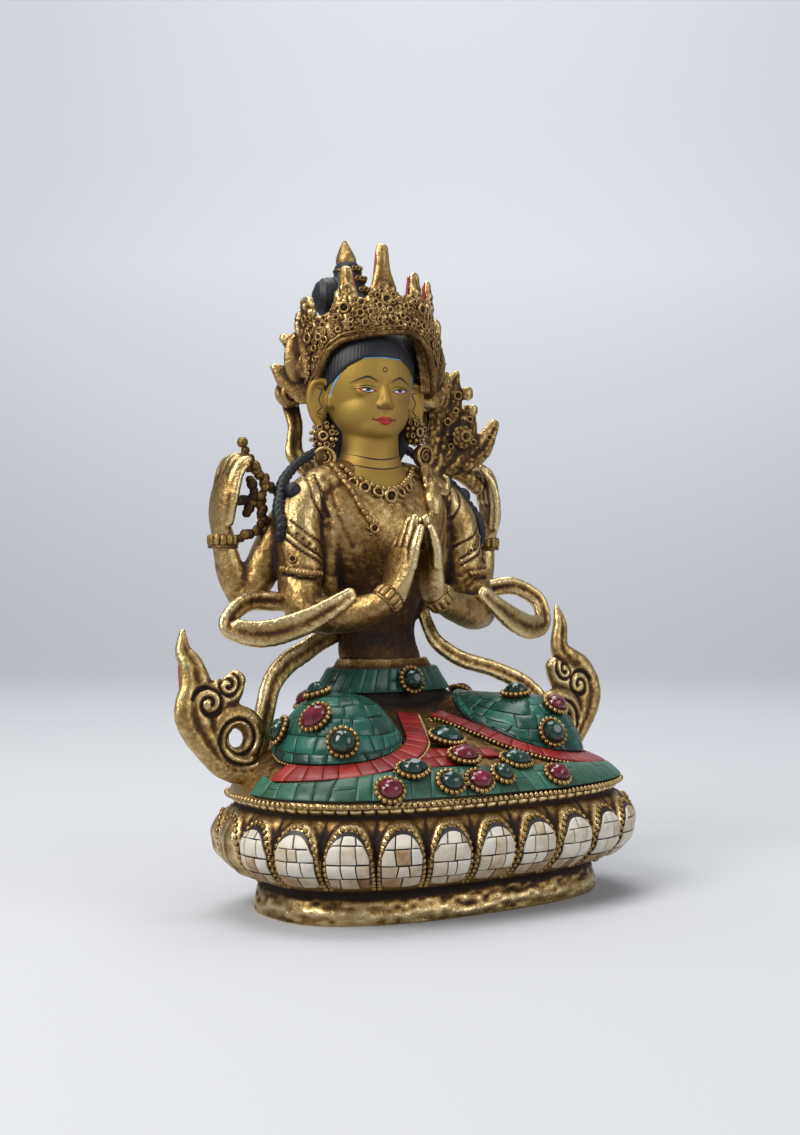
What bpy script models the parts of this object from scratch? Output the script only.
"""Avalokiteshvara, a seated four-armed brass figure on a lotus throne.

Metres, +Z up, the figure faces -Y, and its left side is +X.
The origin is the middle of the flat underside of the throne.
"""
import bpy
import bmesh
import math
import numpy as np
from mathutils import Vector

for old in list(bpy.data.objects):
    bpy.data.objects.remove(old, do_unlink=True)

MM = 0.001

# Throne, in millimetres: half sizes of the rounded-rectangle plan
PLAN_CENTRE_Y = 1.5
PLAN_POWER = 2.6
BULGE_HALF_X = 70.5
BULGE_HALF_Y = 45.5
RIM_HALF_X = 67.5
RIM_HALF_Y = 41.5
THRONE_TOP_Z = 37.8
PETAL_COUNT = 24
PETAL_DEPTH = 1.7
PANEL_PETALS = 12
PANEL_THICKNESS = 1.0
GAP = 0.45
SHARP_ANGLE = math.radians(35.0)

# Lap and legs: the knees keep their distance from the rim, and the hips from the knees
LAP_CLEARANCE = 0.3
LAP_EDGE_HEIGHT = 1.2
LAP_BOTTOM_Z = THRONE_TOP_Z + LAP_CLEARANCE
LAP_EDGE_Z = LAP_BOTTOM_Z + LAP_EDGE_HEIGHT
LAP_SLOPE = 0.22
LAP_LEAN = 0.14
LEG_BLEND = 2.0
KNEE_SIDE_INSET = 31.2
KNEE_FRONT_INSET = 40.0
KNEE = (RIM_HALF_X - KNEE_SIDE_INSET, PLAN_CENTRE_Y - RIM_HALF_Y + KNEE_FRONT_INSET)
LEG_ACROSS = 13.8
LEG_BACK = 20.0
HIP = (KNEE[0] - LEG_ACROSS, KNEE[1] + LEG_BACK)
KNEE_RADIUS = 20.0
HIP_RADIUS = 17.0
KNEE_TOP_RIGHT_Z = 66.0
KNEE_TOP_LEFT_Z = 62.5
LEG_FOOT_Z = 40.0
WAIST_CENTRE_Y = 29.0
WAIST_HALF_X = 27.5
WAIST_HALF_Y = 12.5
WAIST_FOOT_Z = 61.5
INLAY_THICKNESS = 1.2

# Upper body
VOXEL = 1.05
FIGURE_TRIANGLES = 4650
UPPER_TRIANGLES = 9000
BODY_Y = 32.0
HEAD_AXIS_Y = 34.0
HEAD_TURN = math.radians(14.0)

BRASS = (0.60, 0.44, 0.20, 1.0)
TURQUOISE = (0.05, 0.30, 0.22, 1.0)
CORAL = (0.50, 0.05, 0.04, 1.0)
BONE = (0.70, 0.62, 0.48, 1.0)
RUBY = (0.30, 0.01, 0.04, 1.0)
GREEN = (0.02, 0.10, 0.07, 1.0)


def material(name, colour, metallic, roughness):
    """One Principled material."""
    mat = bpy.data.materials.new(name)
    mat.use_nodes = True
    node = mat.node_tree.nodes["Principled BSDF"]
    node.inputs["Base Color"].default_value = colour
    node.inputs["Metallic"].default_value = metallic
    node.inputs["Roughness"].default_value = roughness
    mat.diffuse_color = colour
    return mat


BRASS_MAT = material("brass", BRASS, 1.0, 0.4)
TURQUOISE_MAT = material("turquoise", TURQUOISE, 0.0, 0.35)
CORAL_MAT = material("coral", CORAL, 0.0, 0.35)
BONE_MAT = material("bone", BONE, 0.0, 0.5)
RUBY_MAT = material("ruby", RUBY, 0.0, 0.15)
GREEN_MAT = material("green_stone", GREEN, 0.0, 0.15)


def make_object(name, points, faces, mat):
    """A mesh object from points in millimetres, with its faces turned outward."""
    mesh = bpy.data.meshes.new(name)
    mesh.from_pydata([tuple(float(c) * MM for c in p) for p in points], [], faces)
    bm = bmesh.new()
    bm.from_mesh(mesh)
    bmesh.ops.recalc_face_normals(bm, faces=bm.faces)
    bm.to_mesh(mesh)
    bm.free()
    mesh.materials.append(mat)
    obj = bpy.data.objects.new(name, mesh)
    bpy.context.scene.collection.objects.link(obj)
    return obj


def rings_mesh(rings, cap_start=True, cap_end=True):
    """Points and faces of a closed skin through rings of equal length."""
    count = len(rings[0])
    points = [p for ring in rings for p in ring]
    faces = []
    for level in range(len(rings) - 1):
        for i in range(count):
            j = (i + 1) % count
            a = level * count
            b = a + count
            faces.append((a + i, a + j, b + j, b + i))
    if cap_start:
        faces.append(tuple(reversed(range(count))))
    if cap_end:
        last = (len(rings) - 1) * count
        faces.append(tuple(last + i for i in range(count)))
    return points, faces


# Throne casting
def plan_point(fraction, half_x, half_y, power=PLAN_POWER):
    """A point on a rounded rectangle, at a share of the way round from the front middle."""
    angle = PLAN_ANGLES(fraction % 1.0)
    c = math.cos(angle)
    s = math.sin(angle)
    x = half_x * math.copysign(abs(c) ** (2.0 / power), c)
    y = half_y * math.copysign(abs(s) ** (2.0 / power), s)
    return x, y + PLAN_CENTRE_Y


def arc_length_table():
    """Angle against share of the length round the widest plan, from the front middle."""
    angles = np.linspace(-0.5 * math.pi, 1.5 * math.pi, 8001)
    c = np.cos(angles)
    s = np.sin(angles)
    x = BULGE_HALF_X * np.sign(c) * np.abs(c) ** (2.0 / PLAN_POWER)
    y = BULGE_HALF_Y * np.sign(s) * np.abs(s) ** (2.0 / PLAN_POWER)
    steps = np.hypot(np.diff(x), np.diff(y))
    length = np.concatenate([[0.0], np.cumsum(steps)])
    length = length / length[-1]
    return lambda share: float(np.interp(share, length, angles))


PLAN_ANGLES = arc_length_table()

# Height, half sizes in X and Y, and share of the petal relief
THRONE_LEVELS = [
    (0.0, BULGE_HALF_X - 11.0, BULGE_HALF_Y - 12.5, 0.0),
    (2.4, BULGE_HALF_X - 10.2, BULGE_HALF_Y - 11.7, 0.0),
    (9.8, BULGE_HALF_X - 12.7, BULGE_HALF_Y - 13.9, 0.0),
    (12.2, BULGE_HALF_X - 7.0, BULGE_HALF_Y - 7.5, 0.7),
    (18.0, BULGE_HALF_X - 1.9, BULGE_HALF_Y - 2.1, 1.0),
    (25.0, BULGE_HALF_X - 0.9, BULGE_HALF_Y - 1.1, 1.0),
    (THRONE_TOP_Z - 6.3, BULGE_HALF_X - 3.7, BULGE_HALF_Y - 3.7, 0.7),
    (THRONE_TOP_Z - 3.6, RIM_HALF_X - 3.3, RIM_HALF_Y - 2.7, 0.0),
    (THRONE_TOP_Z - 2.4, RIM_HALF_X - 1.9, RIM_HALF_Y - 1.5, 0.0),
    (THRONE_TOP_Z, RIM_HALF_X, RIM_HALF_Y, 0.0),
]


def throne_point(fraction, height, extra=0.0):
    """A point on the throne's side, moved out by the petal relief and an extra offset."""
    levels = np.array(THRONE_LEVELS)
    half_x = np.interp(height, levels[:, 0], levels[:, 1])
    half_y = np.interp(height, levels[:, 0], levels[:, 2])
    share = np.interp(height, levels[:, 0], levels[:, 3])
    turn = fraction * PETAL_COUNT
    across = 2.0 * abs(turn - math.floor(turn) - 0.5)
    bulge = PETAL_DEPTH * share * (1.0 - across ** 3)
    x, y = plan_point(fraction, half_x + bulge + extra, half_y + bulge + extra)
    return x, y, height


SAMPLES = PETAL_COUNT * 3
throne_rings = []
for level in THRONE_LEVELS:
    throne_rings.append([throne_point(i / SAMPLES, level[0]) for i in range(SAMPLES)])
throne_points, throne_faces = rings_mesh(throne_rings)
make_object("lotus_throne", throne_points, throne_faces, BRASS_MAT)

# Bone panels, one to each petal of the front half
PANEL_HALF = 0.7
PANEL_COLUMNS = [-PANEL_HALF, -0.34, 0.34, PANEL_HALF]
PANEL_HEIGHTS = [12.6, 18.0, 25.0, THRONE_TOP_Z - 6.3]
PANEL_ARCH = [1.6, 0.0, -1.0, -3.8]


def panel_side(petal, offset):
    """The grid of points on one side of a petal's panel, its top edge arched."""
    grid = []
    for height, arch in zip(PANEL_HEIGHTS, PANEL_ARCH):
        for across in PANEL_COLUMNS:
            bend = arch * (abs(across) / PANEL_HALF) ** 2.4
            fraction = (petal + 0.5 + 0.5 * across) / PETAL_COUNT
            grid.append(throne_point(fraction, height + bend, offset))
    return grid


def slab_faces(columns, rows):
    """Faces of a closed slab whose two sides are grids of columns by rows points."""
    faces = []
    far = columns * rows
    for r in range(rows - 1):
        for c in range(columns - 1):
            a = r * columns + c
            faces.append((a, a + 1, a + columns + 1, a + columns))
            faces.append((far + a, far + a + columns, far + a + columns + 1, far + a + 1))
    for c in range(columns - 1):
        top = (rows - 1) * columns + c
        faces.append((c, far + c, far + c + 1, c + 1))
        faces.append((top, top + 1, far + top + 1, far + top))
    for r in range(rows - 1):
        left = r * columns
        right = left + columns - 1
        faces.append((left, left + columns, far + left + columns, far + left))
        faces.append((right, far + right, far + right + columns, right + columns))
    return faces


for index in range(PANEL_PETALS):
    petal = index - PANEL_PETALS // 2
    panel = panel_side(petal, GAP) + panel_side(petal, GAP + PANEL_THICKNESS)
    faces = slab_faces(len(PANEL_COLUMNS), len(PANEL_HEIGHTS))
    make_object("bone_panel_%02d" % (index + 1), panel, faces, BONE_MAT)


# Lap: the brass surface under the inlay, as a height over the plan
def leg_distance(x, y):
    """Distance to the leg's middle line as a share of its radius, and the share along the leg."""
    ax, ay = KNEE
    bx, by = HIP
    px = abs(x)
    length = (bx - ax) ** 2 + (by - ay) ** 2
    along = ((px - ax) * (bx - ax) + (y - ay) * (by - ay)) / length
    along = min(1.0, max(0.0, along))
    distance = math.hypot(px - ax - along * (bx - ax), y - ay - along * (by - ay))
    radius = KNEE_RADIUS + (HIP_RADIUS - KNEE_RADIUS) * along
    return distance / radius, along


def lap_height(x, y):
    """Height of the brass lap at a point of the plan."""
    rim = (abs(x / RIM_HALF_X) ** PLAN_POWER + abs((y - PLAN_CENTRE_Y) / RIM_HALF_Y) ** PLAN_POWER)
    inward = max(0.0, 1.0 - rim ** (1.0 / PLAN_POWER))
    waist = math.hypot(x / WAIST_HALF_X, (y - WAIST_CENTRE_Y) / WAIST_HALF_Y)
    outward = max(0.0, waist - 1.0)
    rise = inward / (inward + LAP_SLOPE * outward + 1e-6)
    power = 0.96 + LAP_LEAN * math.tanh(x / KNEE_RADIUS / 0.75)
    base = LAP_EDGE_Z + (WAIST_FOOT_Z - LAP_EDGE_Z) * rise ** power
    share, along = leg_distance(x, y)
    if share < 1.0:
        top = KNEE_TOP_LEFT_Z + 0.5 * along if x > 0 else KNEE_TOP_RIGHT_Z - 3.0 * along
        leg = LEG_FOOT_Z + (top - LEG_FOOT_Z) * (1.0 - share ** 2.6) ** 0.55
        high = max(base, leg)
        return high + LEG_BLEND * math.log(
            math.exp((base - high) / LEG_BLEND) + math.exp((leg - high) / LEG_BLEND))
    return base


def lap_normal(x, y):
    """Upward unit normal of the lap."""
    step = 0.8
    dx = (lap_height(x + step, y) - lap_height(x - step, y)) / (2.0 * step)
    dy = (lap_height(x, y + step) - lap_height(x, y - step)) / (2.0 * step)
    length = math.sqrt(dx * dx + dy * dy + 1.0)
    return -dx / length, -dy / length, 1.0 / length


def over_lap(x, y, offset):
    """A point at an offset from the lap along its normal."""
    nx, ny, nz = lap_normal(x, y)
    return x + nx * offset, y + ny * offset, lap_height(x, y) + nz * offset


LAP_SAMPLES = 144
LAP_RINGS = 36
lap_rings = []
lap_rings.append([plan_point(i / LAP_SAMPLES, RIM_HALF_X, RIM_HALF_Y) + (LAP_BOTTOM_Z,)
                  for i in range(LAP_SAMPLES)])
for ring in range(LAP_RINGS):
    share = ring / (LAP_RINGS - 1)
    level = []
    for i in range(LAP_SAMPLES):
        x0, y0 = plan_point(i / LAP_SAMPLES, RIM_HALF_X, RIM_HALF_Y)
        angle = PLAN_ANGLES(i / LAP_SAMPLES)
        x1 = WAIST_HALF_X * math.cos(angle)
        y1 = WAIST_CENTRE_Y + WAIST_HALF_Y * math.sin(angle)
        x = x0 + (x1 - x0) * share
        y = y0 + (y1 - y0) * share
        level.append((x, y, lap_height(x, y)))
    lap_rings.append(level)
# The waist rises from the lap: height above the lap's top, and shares of its half sizes
WAIST_LEVELS = [(3.5, 0.90, 0.95), (8.5, 0.76, 0.86), (14.5, 0.62, 0.78)]


def waist_half(height):
    """Half sizes of the waist at a height above the lap's top."""
    rows = np.array(WAIST_LEVELS)
    half_x = WAIST_HALF_X * float(np.interp(height, rows[:, 0], rows[:, 1]))
    half_y = WAIST_HALF_Y * float(np.interp(height, rows[:, 0], rows[:, 2]))
    return half_x, half_y


for height, _, _ in WAIST_LEVELS:
    half_x, half_y = waist_half(height)
    level = []
    for i in range(LAP_SAMPLES):
        angle = PLAN_ANGLES(i / LAP_SAMPLES)
        x = half_x * math.cos(angle)
        y = WAIST_CENTRE_Y + half_y * math.sin(angle)
        z = WAIST_FOOT_Z + height
        if height == WAIST_LEVELS[0][0]:
            z = max(z, lap_height(x, y))
        level.append((x, y, z))
    lap_rings.append(level)
lap_points, lap_faces = rings_mesh(lap_rings)
lap = make_object("lap", lap_points, lap_faces, BRASS_MAT)

# Upper body: overlapping bodies joined into one skin
PIECES = []


def add_piece(points, faces):
    """Keep one closed body for the joined skin."""
    PIECES.append((points, faces))


def ball(centre, radii, turn_z=0.0):
    """An ellipsoid turned about Z."""
    rings = []
    for level in range(1, 10):
        polar = math.pi * level / 10
        ring = []
        for i in range(16):
            angle = 2.0 * math.pi * i / 16
            x = radii[0] * math.sin(polar) * math.cos(angle)
            y = radii[1] * math.sin(polar) * math.sin(angle)
            z = -radii[2] * math.cos(polar)
            x, y = (x * math.cos(turn_z) - y * math.sin(turn_z),
                    x * math.sin(turn_z) + y * math.cos(turn_z))
            ring.append((centre[0] + x, centre[1] + y, centre[2] + z))
        rings.append(ring)
    add_piece(*rings_mesh(rings))


def smooth_path(path, steps):
    """Points along a smooth curve through rows of x, y, z and two radii."""
    rows = np.array(path, dtype=float)
    out = []
    for k in range(len(rows) - 1):
        p0 = rows[max(k - 1, 0)]
        p1 = rows[k]
        p2 = rows[k + 1]
        p3 = rows[min(k + 2, len(rows) - 1)]
        for i in range(steps):
            t = i / steps
            out.append(0.5 * (2 * p1 + (p2 - p0) * t + (2 * p0 - 5 * p1 + 4 * p2 - p3) * t * t
                              + (3 * p1 - p0 - 3 * p2 + p3) * t ** 3))
    out.append(rows[-1])
    return np.array(out)


def limb(path, flat_axis=(0.0, 1.0, 0.0), steps=4, sides=12):
    """A tube through rows of x, y, z, half width, half depth; depth lies along flat_axis."""
    rows = smooth_path(path, steps)
    axis = np.array(flat_axis, dtype=float)
    rings = []
    tangents = np.gradient(rows[:, :3], axis=0)
    start = rows[0].copy()
    end = rows[-1].copy()
    lead = tangents[0] / np.linalg.norm(tangents[0])
    tail = tangents[-1] / np.linalg.norm(tangents[-1])
    start[:3] -= lead * start[3] * 0.6
    start[3:] *= 0.5
    end[:3] += tail * end[3] * 0.6
    end[3:] *= 0.5
    rows = np.vstack([start, rows, end])
    tangents = np.vstack([lead, tangents, tail])
    for row, tangent in zip(rows, tangents):
        tangent = tangent / np.linalg.norm(tangent)
        wide = np.cross(axis, tangent)
        wide = wide / np.linalg.norm(wide)
        deep = np.cross(tangent, wide)
        ring = []
        for i in range(sides):
            angle = 2.0 * math.pi * i / sides
            p = row[:3] + wide * row[3] * math.cos(angle) + deep * row[4] * math.sin(angle)
            ring.append(tuple(p))
        rings.append(ring)
    add_piece(*rings_mesh(rings))


def body_stack(levels, turn=0.0, axis=(0.0, 0.0), sides=24):
    """Stacked ellipses of height, centre y, half width, half depth, round a turned axis."""
    rings = []
    for height, centre_y, half_x, half_y in levels:
        ring = []
        for i in range(sides):
            angle = 2.0 * math.pi * i / sides
            x = half_x * math.cos(angle)
            y = centre_y + half_y * math.sin(angle)
            ring.append((axis[0] + x * math.cos(turn) + y * math.sin(turn),
                         axis[1] - x * math.sin(turn) + y * math.cos(turn), height))
        rings.append(ring)
    add_piece(*rings_mesh(rings))


def head_place(x, y, z):
    """A point given round the head's own turned axis."""
    return (x * math.cos(HEAD_TURN) + y * math.sin(HEAD_TURN),
            HEAD_AXIS_Y - x * math.sin(HEAD_TURN) + y * math.cos(HEAD_TURN), z)


def head_limb(path, flat_axis=(0.0, 1.0, 0.0), steps=4):
    """A limb whose path is given round the head's own axis."""
    rows = [head_place(*row[:3]) + tuple(row[3:]) for row in path]
    ax = head_place(*flat_axis)
    turned = (ax[0], ax[1] - HEAD_AXIS_Y, ax[2])
    limb(rows, turned, steps)


# Torso and neck
body_stack([
    (63.0, -3.0, 15.0, 8.0), (73.0, -3.0, 15.5, 8.6), (77.5, -1.0, 16.4, 9.8),
    (84.0, 0.5, 15.6, 10.0), (92.0, 0.0, 17.0, 10.8), (103.0, -0.5, 21.0, 12.2),
    (114.0, -1.0, 25.5, 13.4), (123.0, -0.5, 28.5, 13.4), (130.0, 0.5, 28.5, 12.0),
    (135.0, 1.5, 22.5, 10.2), (139.0, 1.8, 14.0, 9.0), (144.0, 1.5, 10.6, 8.8),
    (152.0, 1.0, 9.8, 8.6), (158.0, 1.0, 9.0, 8.0),
], axis=(0.0, BODY_Y))

# Head: skull and jaw
ball(head_place(0.0, 1.5, 170.0), (16.2, 15.5, 20.0), -HEAD_TURN)
ball(head_place(0.0, -3.0, 158.5), (12.6, 11.0, 10.5), -HEAD_TURN)
ball(head_place(0.0, -6.5, 154.0), (8.0, 7.5, 5.5), -HEAD_TURN)
head_limb([(0.0, -12.6, 169.0, 1.6, 1.6), (0.0, -14.6, 162.5, 2.3, 2.0)], (1.0, 0.0, 0.0), 2)

# Hair: knot and finial behind the crown
head_limb([(-1.0, 10.0, 184.0, 12.0, 10.0), (-2.0, 14.0, 194.0, 10.0, 9.0),
           (-3.0, 16.0, 203.0, 6.6, 6.4), (-3.6, 17.5, 209.0, 6.2, 6.2),
           (-4.0, 18.0, 215.0, 4.8, 4.8), (-4.2, 18.6, 220.6, 1.8, 1.8)], (1.0, 0.0, 0.0), 3)

# Crown: a curved tiara with five leaves, each ending in a finger-like spike
CROWN_HALF_X = 20.3
CROWN_HALF_Y = 13.5
CROWN_BACK = 3.0
CROWN_REACH = math.radians(100.0)
LEAF_ANGLES = [math.radians(a) for a in (-78.0, -38.0, 0.0, 38.0, 78.0)]
SPIKE_TIPS = [196.5, 207.5, 215.5, 207.0, 205.5]
SPIKE_FEET = [186.0, 192.0, 197.0, 192.0, 190.0]


def crown_point(angle, height, offset):
    """A point on the crown's wall, at an angle from its front and an offset outward."""
    lean = (height - 183.0) * 0.10
    x = (CROWN_HALF_X + offset - lean * 0.3) * math.sin(angle)
    y = CROWN_BACK - (CROWN_HALF_Y + offset - lean) * math.cos(angle)
    return head_place(x, y, height)


crown_rings = []
CROWN_STEPS = 40
for i in range(CROWN_STEPS + 1):
    angle = -CROWN_REACH + 2.0 * CROWN_REACH * i / CROWN_STEPS
    low = 183.5 - 17.5 * (abs(angle) / CROWN_REACH) ** 2.0
    leaf = max(math.exp(-((angle - a) / 0.21) ** 2) for a in LEAF_ANGLES)
    high = 190.5 - 7.5 * (abs(angle) / CROWN_REACH) ** 2.0 + 6.5 * leaf
    middle = 0.5 * (low + high)
    crown_rings.append([
        crown_point(angle, low, -1.8), crown_point(angle, low, 1.2),
        crown_point(angle, middle, 2.4), crown_point(angle, high, 1.6),
        crown_point(angle, high, -1.2), crown_point(angle, middle, -2.2),
    ])
add_piece(*rings_mesh(crown_rings))
for angle, foot, tip in zip(LEAF_ANGLES, SPIKE_FEET, SPIKE_TIPS):
    low = crown_point(angle, foot, 0.2)
    high = crown_point(angle, tip - 1.2, 0.2)
    limb([low + (3.6, 2.6), high + (1.6, 1.4)], (math.sin(angle), -math.cos(angle), 0.0), 3)

# Side scrolls of the crown and the ribbons that fall from them, one to each side
for side in (-1.0, 1.0):
    head_limb([(side * 19.0, 5.0, 177.0, 4.4, 2.6), (side * 25.0, 7.0, 181.0, 4.0, 2.4),
               (side * 28.0, 9.0, 186.0 if side < 0 else 179.0, 1.8, 1.6)])
    head_limb([(side * 31.0, 15.0, 176.0, 1.8, 1.6),
               (side * 28.5, 14.0, 171.5, 3.6, 2.6), (side * 26.0, 13.0, 165.0, 5.4, 3.0),
               (side * 23.0, 11.0, 157.0, 3.8, 2.6), (side * 22.5, 9.5, 150.0, 3.4, 2.6),
               (side * 23.5, 8.0, 144.5, 4.0, 2.8), (side * 21.5, 6.0, 139.0, 3.8, 3.0)])
    head_limb([(side * 16.0, 7.0, 174.0, 6.0, 3.0), (side * 25.0, 12.0, 168.0, 5.0, 2.6)])
    # Long ear with its flower and hanging drop
    head_limb([(side * 16.6, 0.5, 172.5, 2.2, 2.6), (side * 17.6, 1.0, 166.0, 2.6, 3.0),
               (side * 17.2, 0.5, 158.0, 2.0, 2.4)], (1.0, 0.0, 0.0))
    ball(head_place(side * 16.6, -1.0, 152.0), (4.2, 3.4, 4.8), -HEAD_TURN)
    ball(head_place(side * 16.2, -2.0, 144.5), (4.8, 3.2, 4.8), -HEAD_TURN)
    head_limb([(side * 15.6, -2.5, 140.5, 2.2, 2.0), (side * 15.0, -3.0, 136.0, 1.4, 1.4)])
    ball(head_place(side * 7.5, 17.0, 198.0), (6.2, 6.0, 6.5), -HEAD_TURN)
ball(head_place(0.0, 8.0, 160.0), (18.5, 9.0, 24.0), -HEAD_TURN)

# Arms: each row is x, y, z and two half sizes, mirrored to the other side
HANDS_X = -4.5
for side in (-1.0, 1.0):
    # Front arm: shoulder, elbow, wrist
    limb([(side * 27.0, 33.0, 130.0, 7.0, 7.5), (side * 32.0, 31.5, 122.0, 7.6, 8.2),
          (side * 33.0, 28.5, 108.0, 7.4, 8.0), (side * 35.0, 24.5, 97.0, 6.8, 7.4),
          (side * 34.0, 20.0, 91.0, 6.2, 6.4)], (0.0, 1.0, 0.0))
    limb([(side * 35.0, 21.0, 91.5, 6.0, 6.2), (side * 24.0, 12.0, 91.5, 5.6, 5.8),
          (HANDS_X + side * 11.5, 4.5, 95.5, 4.4, 4.4), (HANDS_X + side * 7.5, 3.5, 99.0, 4.0, 3.6)],
         (0.0, 0.0, 1.0))
    # Hand of the front pair, palm to palm
    limb([(HANDS_X + side * 6.0, 3.5, 100.5, 3.4, 5.0), (HANDS_X + side * 5.2, 2.5, 107.0, 3.0, 5.6),
          (HANDS_X + side * 4.2, 1.0, 114.0, 2.2, 5.0), (HANDS_X + side * 2.6, 0.0, 122.5, 1.7, 2.8)])
    # Rear arm: shoulder, elbow, raised forearm, hand
    limb([(side * 28.0, 37.0, 128.0, 6.4, 6.0), (side * 36.0, 38.0, 116.0, 6.4, 6.0),
          (side * 43.0, 38.5, 103.0, 6.0, 5.6), (side * 47.5, 39.0, 96.5, 5.4, 5.2)])
    limb([(side * 46.5, 39.5, 96.0, 5.4, 5.2), (side * 51.0, 41.0, 104.0, 4.8, 4.8),
          (side * 53.5, 42.0, 114.0, 4.0, 4.2), (side * 54.0, 42.0, 118.0, 3.8, 4.4)])
    limb([(side * 54.0, 42.0, 117.0, 3.8, 4.6), (side * 55.6, 41.5, 126.0, 3.0, 6.2),
          (side * 53.8, 40.5, 135.0, 2.6, 5.6), (side * 49.5, 39.5, 142.5, 1.9, 3.2)])
    # Armlets and bangles
    limb([(side * 25.5, 25.5, 108.5, 2.2, 2.2), (side * 33.0, 20.3, 106.0, 2.2, 2.2),
          (side * 41.0, 26.0, 107.5, 2.2, 2.2)], (0.0, 0.0, 1.0), 3)
    limb([(side * 50.0, 38.0, 115.0, 1.6, 1.6), (side * 54.0, 37.0, 115.5, 1.8, 1.8),
          (side * 58.5, 39.0, 115.5, 1.6, 1.6)], (0.0, 0.0, 1.0), 3)
    limb([(HANDS_X + side * 11.5, -1.0, 92.5, 1.7, 1.7), (HANDS_X + side * 9.5, -1.2, 97.5, 1.7, 1.7),
          (HANDS_X + side * 11.5, 1.5, 101.8, 1.7, 1.7)], (0.0, 1.0, 0.0), 3)
    # Lock of hair on the shoulder with a small bun
    limb([(side * 21.0, 34.0, 142.0, 3.4, 3.4), (side * 30.0, 32.5, 137.0, 3.2, 3.0),
          (side * 36.0, 30.0, 128.0, 2.8, 2.8), (side * 36.5, 26.5, 117.0, 2.0, 2.0)])
    ball((side * 27.5, 25.5, 131.5), (4.4, 4.0, 4.4))
    # Sash looped round the elbow and out to the side
    limb([(side * 21.0, 6.0, 100.0, 2.2, 2.4), (side * 32.0, 8.5, 93.0, 4.8, 2.6),
          (side * 43.0, 12.0, 88.5, 4.6, 2.6), (side * 54.0, 16.0, 86.0, 4.0, 2.6),
          (side * 61.5, 20.0, 89.5, 3.4, 3.4), (side * 62.0, 23.0, 97.0, 3.0, 4.0),
          (side * 55.5, 27.0, 101.5, 3.0, 4.4), (side * 47.0, 31.0, 99.5, 3.4, 4.4)],
         (0.0, 1.0, 0.0))

# Sash ends that fall from the hip to the side scrolls
limb([(-17.0, 27.0, 83.0, 3.6, 2.4), (-29.0, 26.0, 80.5, 3.8, 2.4), (-40.0, 24.0, 76.0, 4.0, 2.4),
      (-48.0, 21.0, 69.5, 3.8, 2.4), (-53.0, 17.5, 59.0, 3.6, 2.6), (-57.5, 14.0, 48.0, 4.0, 3.0),
      (-58.5, 12.0, 43.0, 4.4, 3.6)])
limb([(15.0, 27.0, 86.0, 2.6, 2.4), (20.0, 26.0, 80.0, 3.0, 2.4), (30.0, 25.0, 74.5, 3.0, 2.4),
      (43.0, 23.0, 71.0, 3.0, 2.4), (54.0, 20.0, 65.5, 3.4, 2.6), (60.0, 17.0, 58.0, 3.6, 2.6),
      (61.0, 14.0, 48.0, 4.0, 3.0), (60.0, 12.0, 42.8, 4.0, 3.6)])

# Side scrolls: a volute with an eye, an S-shaped body and a flame tip, one to each side
VOLUTE_X = RIM_HALF_X
VOLUTE_Y = 14.5
VOLUTE_Z = 53.8
VOLUTE_RADIUS = 6.6
VOLUTE_STEPS = 12
for side, inward, tip_x, tip_z in ((-1.0, 3.0, 79.0, 87.0), (1.0, 2.5, 70.5, 92.5)):
    eye_ring = []
    for step in range(VOLUTE_STEPS + 1):
        turn = 2.0 * math.pi * step / VOLUTE_STEPS
        eye_ring.append((side * (VOLUTE_X - inward + VOLUTE_RADIUS * math.cos(turn)), VOLUTE_Y,
                         VOLUTE_Z + VOLUTE_RADIUS * math.sin(turn), 3.6, 3.2))
    for a, b in zip(eye_ring, eye_ring[1:]):
        limb([a, b], (0.0, 1.0, 0.0), 1, 8)
    limb([(side * 60.5, 12.0, 44.0, 4.4, 3.8), (side * (71.0 - inward), 13.0, 45.8, 4.8, 3.4),
          (side * (77.5 - inward), 14.0, 52.0, 4.8, 3.2), (side * (82.0 - inward), 15.5, 61.0, 6.0, 3.2),
          (side * (80.0 - inward), 17.0, 70.0, 6.4, 3.0), (side * (tip_x - 1.5), 18.5, 77.0, 4.6, 2.8),
          (side * (tip_x + 0.5), 20.5, tip_z - 6.0, 2.8, 2.4), (side * tip_x, 22.0, tip_z, 1.5, 1.5)])
    limb([(side * (78.0 - inward), 16.0, 64.0, 6.0, 3.0), (side * (70.0 - inward), 16.0, 68.0, 5.4, 3.0),
          (side * (66.5 - inward), 16.0, 72.0, 3.4, 2.6)])

# Prayer beads in the raised right hand: a slack loop with bars of beads across it
for path in (
    [(-48.0, 38.5, 144.5, 2.6, 2.6), (-44.5, 37.5, 139.5, 2.2, 2.2), (-41.0, 37.0, 134.5, 2.6, 2.4),
     (-43.0, 36.5, 128.5, 2.6, 2.4), (-42.5, 36.5, 122.5, 2.6, 2.4), (-45.0, 37.0, 117.5, 2.4, 2.4),
     (-51.0, 37.5, 116.5, 2.2, 2.2)],
    [(-42.0, 37.0, 128.5, 2.2, 2.2), (-48.0, 38.0, 128.0, 2.2, 2.2), (-54.0, 39.5, 128.5, 2.2, 2.2)],
    [(-45.0, 37.5, 139.0, 2.0, 2.0), (-49.0, 38.0, 139.5, 2.0, 2.0), (-52.0, 39.0, 139.0, 2.0, 2.0)],
    [(-42.5, 36.5, 122.5, 2.4, 2.4), (-36.0, 36.0, 120.0, 2.6, 2.6)],
    [(-41.0, 37.0, 134.0, 2.2, 2.2), (-34.0, 36.0, 130.0, 2.8, 2.6)],
):
    limb(path, (0.0, 1.0, 0.0), 3, 8)

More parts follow.
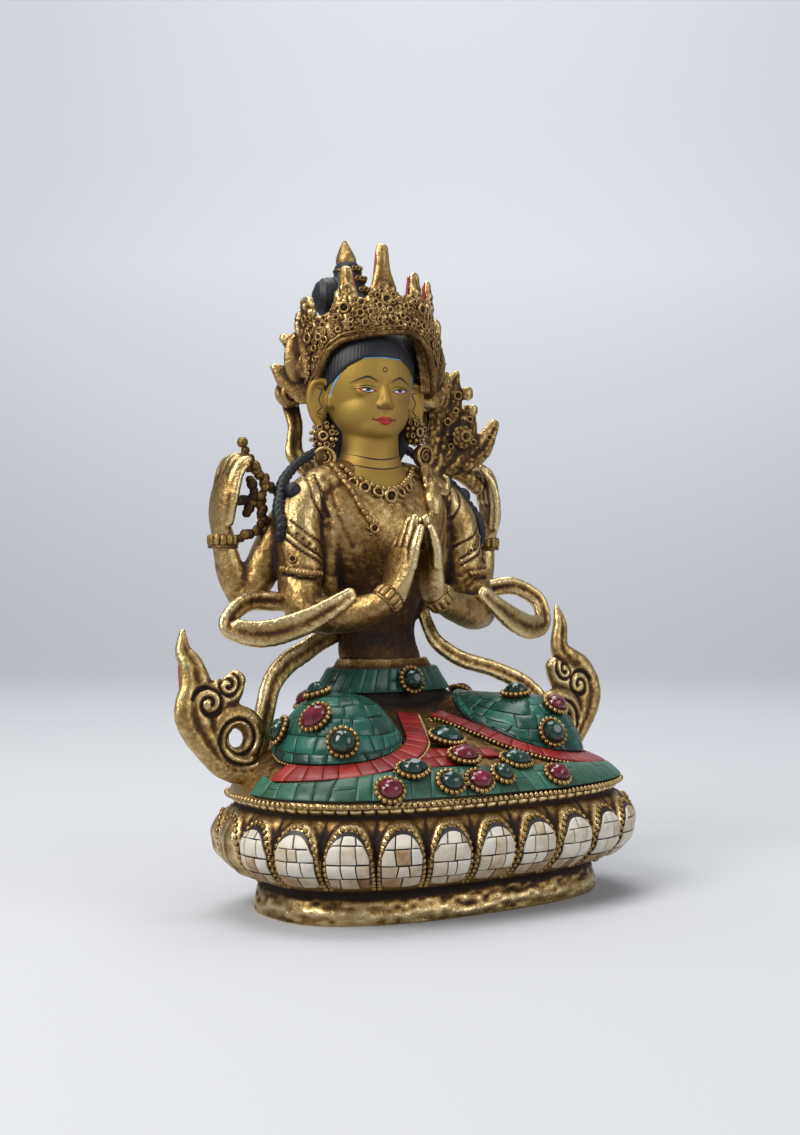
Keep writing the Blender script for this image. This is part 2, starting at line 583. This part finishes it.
# Lotus in the raised left hand: stem, flower and two long leaves
limb([(24.0, 36.0, 140.0, 3.2, 2.4), (34.0, 37.0, 141.0, 3.2, 2.4), (42.0, 38.0, 139.0, 3.4, 2.8),
      (48.5, 39.0, 135.0, 3.2, 3.0)])
limb([(27.0, 36.0, 141.0, 3.0, 2.4), (28.5, 36.0, 151.0, 4.6, 2.8), (32.0, 36.0, 162.0, 6.4, 3.2),
      (34.0, 36.0, 170.0, 4.6, 2.6), (36.5, 36.0, 175.5, 1.6, 1.6)])
limb([(32.0, 36.0, 143.0, 5.0, 3.0), (38.0, 36.0, 150.0, 6.6, 3.0), (40.5, 36.0, 157.0, 5.6, 2.8),
      (41.5, 36.0, 163.0, 2.6, 2.2)])
limb([(40.0, 36.0, 144.5, 4.6, 2.8), (47.5, 36.0, 149.5, 5.0, 2.8), (53.5, 36.0, 158.0, 2.4, 2.0)])

# Necklace beads and pendant, and the animal skin over the left shoulder
limb([(-13.5, 27.0, 138.5, 1.8, 1.8), (-8.0, 21.0, 133.0, 1.8, 1.8), (0.0, 18.6, 129.5, 2.2, 2.2),
      (8.0, 21.0, 133.0, 1.8, 1.8), (13.5, 27.0, 138.5, 1.8, 1.8)], (0.0, 0.0, 1.0), 3)
limb([(-15.0, 24.0, 136.0, 1.4, 1.4), (-9.0, 17.6, 120.0, 1.4, 1.4), (0.0, 16.2, 108.0, 2.0, 1.8),
      (3.0, 18.5, 98.0, 1.4, 1.4)], (0.0, 1.0, 0.0), 3)
limb([(16.0, 23.5, 136.0, 3.0, 2.4), (17.0, 20.0, 127.0, 3.4, 2.6), (15.5, 17.5, 119.0, 2.2, 2.0)])

soup_points = []
soup_faces = []
for points, faces in PIECES:
    base = len(soup_points)
    soup_points.extend(points)
    soup_faces.extend(tuple(base + i for i in face) for face in faces)


def baked_mesh(obj):
    """A new mesh with the object's modifiers in it."""
    graph = bpy.context.evaluated_depsgraph_get()
    graph.update()
    return bpy.data.meshes.new_from_object(obj.evaluated_get(graph))


upper_mesh = bpy.data.meshes.new("upper_soup")
upper_mesh.from_pydata([tuple(float(c) * MM for c in p) for p in soup_points], [], soup_faces)
bm = bmesh.new()
bm.from_mesh(upper_mesh)
bmesh.ops.recalc_face_normals(bm, faces=bm.faces)
bm.to_mesh(upper_mesh)
bm.free()
upper = bpy.data.objects.new("upper", upper_mesh)
bpy.context.scene.collection.objects.link(upper)
remesh = upper.modifiers.new("skin", "REMESH")
remesh.mode = "VOXEL"
remesh.voxel_size = VOXEL * MM
remesh.adaptivity = 0.0
skin = baked_mesh(upper)
upper.modifiers.clear()
upper.data = skin
bm = bmesh.new()
bm.from_mesh(skin)
bmesh.ops.triangulate(bm, faces=bm.faces)
bm.to_mesh(skin)
bm.free()
thin = upper.modifiers.new("thin", "DECIMATE")
thin.ratio = UPPER_TRIANGLES / len(skin.polygons)
thin.use_collapse_triangulate = True
upper.data = baked_mesh(upper)
upper.modifiers.clear()

join = lap.modifiers.new("join", "BOOLEAN")
join.operation = "UNION"
join.solver = "EXACT"
join.object = upper
figure_mesh = baked_mesh(lap)
bm = bmesh.new()
bm.from_mesh(figure_mesh)
bmesh.ops.remove_doubles(bm, verts=bm.verts, dist=0.00005)
bmesh.ops.triangulate(bm, faces=bm.faces)
# Keep only the largest connected body
islands = []
seen = set()
for vert in bm.verts:
    if vert in seen:
        continue
    stack = [vert]
    group = []
    seen.add(vert)
    while stack:
        v = stack.pop()
        group.append(v)
        for edge in v.link_edges:
            other = edge.other_vert(v)
            if other not in seen:
                seen.add(other)
                stack.append(other)
    islands.append(group)
islands.sort(key=len)
for group in islands[:-1]:
    bmesh.ops.delete(bm, geom=group, context="VERTS")
bmesh.ops.recalc_face_normals(bm, faces=bm.faces)
bm.to_mesh(figure_mesh)
bm.free()
bpy.data.objects.remove(lap, do_unlink=True)
bpy.data.objects.remove(upper, do_unlink=True)
figure = bpy.data.objects.new("figure", figure_mesh)
bpy.context.scene.collection.objects.link(figure)
thin = figure.modifiers.new("thin", "DECIMATE")
thin.ratio = FIGURE_TRIANGLES / len(figure_mesh.polygons)
thin.use_collapse_triangulate = True
figure.data = baked_mesh(figure)
figure.modifiers.clear()
figure.data.materials.clear()
figure.data.materials.append(BRASS_MAT)


# Inlay slabs laid over the lap
def slab_over_lap(name, plan_rows, mat):
    """A slab over the lap from rows of plan points."""
    bottom = [over_lap(x, y, GAP) for row in plan_rows for x, y in row]
    top = [over_lap(x, y, GAP + INLAY_THICKNESS) for row in plan_rows for x, y in row]
    faces = slab_faces(len(plan_rows[0]), len(plan_rows))
    return make_object(name, bottom + top, faces, mat)


CORAL_STEPS = 15
CORAL_WIDTH = 6.0
CORAL_START = 1.3
CORAL_END_ANGLE = math.radians(-22.0)


def leg_ring_point(side, path_share, distance):
    """A plan point at a distance outside the leg's edge, along its inner and front side."""
    kx, ky = KNEE
    hx, hy = HIP
    length = math.hypot(kx - hx, ky - hy)
    dx = (kx - hx) / length
    dy = (ky - hy) / length
    nx = dy
    ny = -dx
    middle_radius = KNEE_RADIUS + CORAL_START + 0.5 * CORAL_WIDTH
    start_angle = math.atan2(ny, nx)
    arc = (CORAL_END_ANGLE - start_angle) * middle_radius
    walk = path_share * (length + arc)
    if walk < length:
        share = walk / length
        radius = HIP_RADIUS + (KNEE_RADIUS - HIP_RADIUS) * share + distance
        return side * (hx + dx * walk + nx * radius), hy + dy * walk + ny * radius
    angle = start_angle + (walk - length) / middle_radius
    radius = KNEE_RADIUS + distance
    return side * (kx + math.cos(angle) * radius), ky + math.sin(angle) * radius


for side, label in ((-1.0, "right"), (1.0, "left")):
    rows = []
    for across in (CORAL_START, CORAL_START + CORAL_WIDTH / 2, CORAL_START + CORAL_WIDTH):
        rows.append([leg_ring_point(side, 0.02 + 0.96 * i / CORAL_STEPS, across)
                     for i in range(CORAL_STEPS + 1)])
    slab_over_lap("coral_band_" + label, rows, CORAL_MAT)

# Knee domes: rings of the leg's outline drawn in towards its middle line
KNEE_RINGS = [0.95, 0.92, 0.88, 0.83, 0.76, 0.68, 0.58, 0.46, 0.33, 0.18]
KNEE_SIDES = 48
KNEE_TRIANGLES = 340
HIP_END_SHARE = 0.74


def leg_outline(side, share, step):
    """A plan point on the leg's outline shrunk by a share of its radius."""
    angle = 2.0 * math.pi * step / KNEE_SIDES
    kx, ky = KNEE
    hx, hy = HIP
    c = math.cos(angle)
    s = math.sin(angle)
    length = math.hypot(kx - hx, ky - hy)
    ahead = (c * (kx - hx) + s * (ky - hy)) / length
    blend = min(1.0, max(0.0, 0.5 + 2.0 * ahead))
    reach = HIP_END_SHARE + (1.0 - HIP_END_SHARE) * blend
    x = hx + (kx - hx) * reach
    y = hy + (ky - hy) * reach
    radius = (HIP_RADIUS + (KNEE_RADIUS - HIP_RADIUS) * blend) * share
    return side * (x + c * radius), y + s * radius


for side, label in ((-1.0, "right"), (1.0, "left")):
    under = []
    over = []
    for share in KNEE_RINGS:
        under.append([over_lap(*leg_outline(side, share, k), GAP) for k in range(KNEE_SIDES)])
        over.append([over_lap(*leg_outline(side, share, k), GAP + INLAY_THICKNESS)
                     for k in range(KNEE_SIDES)])
    points, faces = rings_mesh(list(reversed(under)) + over)
    knee = make_object("knee_inlay_" + label, points, faces, TURQUOISE_MAT)
    thin = knee.modifiers.new("thin", "DECIMATE")
    knee.data.calc_loop_triangles()
    thin.ratio = KNEE_TRIANGLES / len(knee.data.loop_triangles)
    thin.use_collapse_triangulate = True
    knee.data = baked_mesh(knee)
    knee.modifiers.clear()

# Hem along the front edge, narrow at its ends and beside the coral bands
HEM_STEPS = 28
HEM_REACH = 0.245
HEM_INSET = 2.4
HEM_WIDTH = 7.2
HEM_LEAST_WIDTH = 1.6
HEM_TRIM = 0.2
HEM_CLEARANCE = 1.2


def hem_width(fraction):
    """The widest hem that stays clear of the coral bands, at a share of the way round."""
    width = HEM_WIDTH
    while width > HEM_LEAST_WIDTH:
        inset = HEM_INSET + width
        share, along = leg_distance(*plan_point(fraction, RIM_HALF_X - inset, RIM_HALF_Y - inset))
        radius = KNEE_RADIUS + (HIP_RADIUS - KNEE_RADIUS) * along
        if (share - 1.0) * radius > CORAL_START + CORAL_WIDTH + HEM_CLEARANCE:
            return width
        width -= HEM_TRIM
    return HEM_LEAST_WIDTH


hem_rows = [[], [], []]
for i in range(HEM_STEPS + 1):
    fraction = -HEM_REACH + 2.0 * HEM_REACH * i / HEM_STEPS
    for row, share in zip(hem_rows, (0.0, 0.5, 1.0)):
        inset = HEM_INSET + hem_width(fraction) * share
        row.append(plan_point(fraction, RIM_HALF_X - inset, RIM_HALF_Y - inset))
slab_over_lap("hem_inlay", hem_rows, TURQUOISE_MAT)

# Waist band: a ring round the foot of the torso, at heights above the lap's top
WAIST_SIDES = 26
WAIST_BAND_LEVELS = [3.9, 8.1, 11.7]
WAIST_BAND_THICKNESS = 1.6


def waist_ring(height, extra):
    """A ring round the waist at a height above the lap's top and an offset outward."""
    half_x, half_y = waist_half(height)
    ring = []
    for i in range(WAIST_SIDES):
        angle = 2.0 * math.pi * i / WAIST_SIDES
        ring.append(((half_x + extra) * math.cos(angle),
                     WAIST_CENTRE_Y + (half_y + extra) * math.sin(angle), WAIST_FOOT_Z + height))
    return ring


waist_rings = [waist_ring(height, GAP) for height in WAIST_BAND_LEVELS]
waist_rings += [waist_ring(height, GAP + WAIST_BAND_THICKNESS) for height in reversed(WAIST_BAND_LEVELS)]
waist_points, waist_faces = rings_mesh(waist_rings + [waist_rings[0]], False, False)
waist = make_object("waist_inlay", waist_points, waist_faces, TURQUOISE_MAT)
bm = bmesh.new()
bm.from_mesh(waist.data)
bmesh.ops.remove_doubles(bm, verts=bm.verts, dist=0.00001)
bmesh.ops.recalc_face_normals(bm, faces=bm.faces)
bm.to_mesh(waist.data)
bm.free()

# Gems in beaded cups: name, kind, what the place is measured from, place, half length, half
# width, turn in degrees, and how far one end is drawn to a point
GEM_HEIGHT = 2.3
CUP_HEIGHT = 1.1
CUP_MARGIN = 0.9
CUP_LIFT = 0.45
GEM_CLEARANCE = 0.3
GEM_SIDES = 8
WAIST_GEM_HEIGHT = 7.7
WAIST_GEM_NORMAL = (0.03, -1.0, 0.32)
ANCHORS = {
    "knee_right": (-KNEE[0], KNEE[1]),
    "knee_left": (KNEE[0], KNEE[1]),
    "hip_right": (-WAIST_HALF_X, WAIST_CENTRE_Y),
    "hip_left": (WAIST_HALF_X, WAIST_CENTRE_Y),
    "rim_front": (0.0, PLAN_CENTRE_Y - RIM_HALF_Y),
    "waist_front": (0.0, WAIST_CENTRE_Y - WAIST_HALF_Y),
}
GEMS = [
    ("knee_right_ruby", "ruby", "knee_right", -12.0, -7.1, 4.2, 3.3, 10.0, 0.0),
    ("knee_right_green_top", "green", "knee_right", -5.7, 2.0, 3.4, 2.7, 0.0, 0.0),
    ("knee_right_green_front", "green", "knee_right", -8.6, -15.3, 3.7, 3.7, 0.0, 0.0),
    ("knee_right_green_outer", "green", "knee_right", -16.0, 4.5, 3.6, 3.3, 0.0, 0.0),
    ("hip_right_ruby", "ruby", "hip_right", -3.0, -3.5, 3.8, 3.3, 0.0, 0.0),
    ("hip_left_ruby", "ruby", "hip_left", 3.0, -3.0, 3.8, 3.3, 0.0, 0.0),
    ("knee_left_green_top", "green", "knee_left", -3.5, -2.0, 3.9, 3.4, 0.0, 0.0),
    ("knee_left_ruby", "ruby", "knee_left", 4.1, -11.2, 4.1, 3.1, 20.0, 0.0),
    ("knee_left_green_front", "green", "knee_left", -2.1, -17.3, 3.8, 3.8, 0.0, 0.0),
    ("lap_green_large", "green", "knee_right", 29.3, -16.1, 5.0, 4.1, -10.0, 0.0),
    ("lap_ruby", "ruby", "knee_right", 27.3, -27.4, 4.5, 3.4, 0.0, 0.0),
    ("lap_green_drop_right", "green", "rim_front", -30.0, 9.6, 4.4, 3.1, -8.0, 0.35),
    ("hem_ruby_right", "ruby", "rim_front", -40.2, 7.0, 3.5, 3.3, 0.0, 0.0),
    ("hem_green_middle", "green", "rim_front", -20.6, 4.1, 3.7, 3.2, 0.0, 0.0),
    ("hem_ruby_drop", "ruby", "rim_front", -10.4, 3.4, 4.1, 3.2, 0.0, 0.3),
    ("hem_green_left", "green", "rim_front", -0.4, 4.8, 2.9, 2.8, 0.0, 0.0),
    ("lap_green_drop_left", "green", "rim_front", 9.6, 10.2, 4.6, 3.1, -20.0, 0.35),
    ("hem_ruby_left", "ruby", "rim_front", 21.0, 4.4, 3.7, 3.1, 0.0, 0.0),
    ("waist_green", "green", "waist_front", 2.2, -1.2, 3.6, 3.4, 0.0, 0.0),
]


def stone_outline(half_long, half_wide, turn, pointed, scale):
    """Outline of a stone or its cup, one end drawn out by the pointed share."""
    out = []
    for k in range(GEM_SIDES):
        angle = 2.0 * math.pi * k / GEM_SIDES
        c = math.cos(angle)
        x = half_long * scale * c
        y = half_wide * scale * math.sin(angle) * (1.0 - pointed * max(0.0, c))
        turned = math.radians(turn)
        out.append((x * math.cos(turned) - y * math.sin(turned),
                    x * math.sin(turned) + y * math.cos(turned)))
    return out


def tilted_ring(centre, normal, outline, height):
    """An outline laid square to a normal at a height above a centre."""
    n = Vector(normal).normalized()
    u = (Vector((1.0, 0.0, 0.0)) - n * n.x).normalized()
    v = n.cross(u)
    c = Vector(centre)
    return [tuple(c + u * x + v * y + n * height) for x, y in outline]


for name, kind, anchor, dx, dy, half_long, half_wide, turn, pointed in GEMS:
    x = ANCHORS[anchor][0] + dx
    y = ANCHORS[anchor][1] + dy
    if anchor == "waist_front":
        normal = WAIST_GEM_NORMAL
        centre = (x, y, WAIST_FOOT_Z + WAIST_GEM_HEIGHT)
    else:
        normal = lap_normal(x, y)
        centre = over_lap(x, y, GAP + INLAY_THICKNESS + CUP_LIFT)
    cup = stone_outline(half_long + CUP_MARGIN, half_wide + CUP_MARGIN, turn, pointed, 1.0)
    cup_rings = [tilted_ring(centre, normal, cup, 0.0), tilted_ring(centre, normal, cup, CUP_HEIGHT)]
    points, faces = rings_mesh(cup_rings)
    make_object("cup_" + name, points, faces, BRASS_MAT)
    gem_rings = []
    for scale, height in ((1.0, 0.0), (0.8, 0.62 * GEM_HEIGHT), (0.42, GEM_HEIGHT)):
        outline = stone_outline(half_long, half_wide, turn, pointed, scale)
        gem_rings.append(tilted_ring(centre, normal, outline, CUP_HEIGHT + GEM_CLEARANCE + height))
    points, faces = rings_mesh(gem_rings)
    make_object("gem_" + name, points, faces, RUBY_MAT if kind == "ruby" else GREEN_MAT)

# Soft edges are shaded smooth and hard ones stay sharp
for obj in bpy.data.objects:
    obj.data.shade_smooth()
    obj.data.set_sharp_from_angle(angle=SHARP_ANGLE)
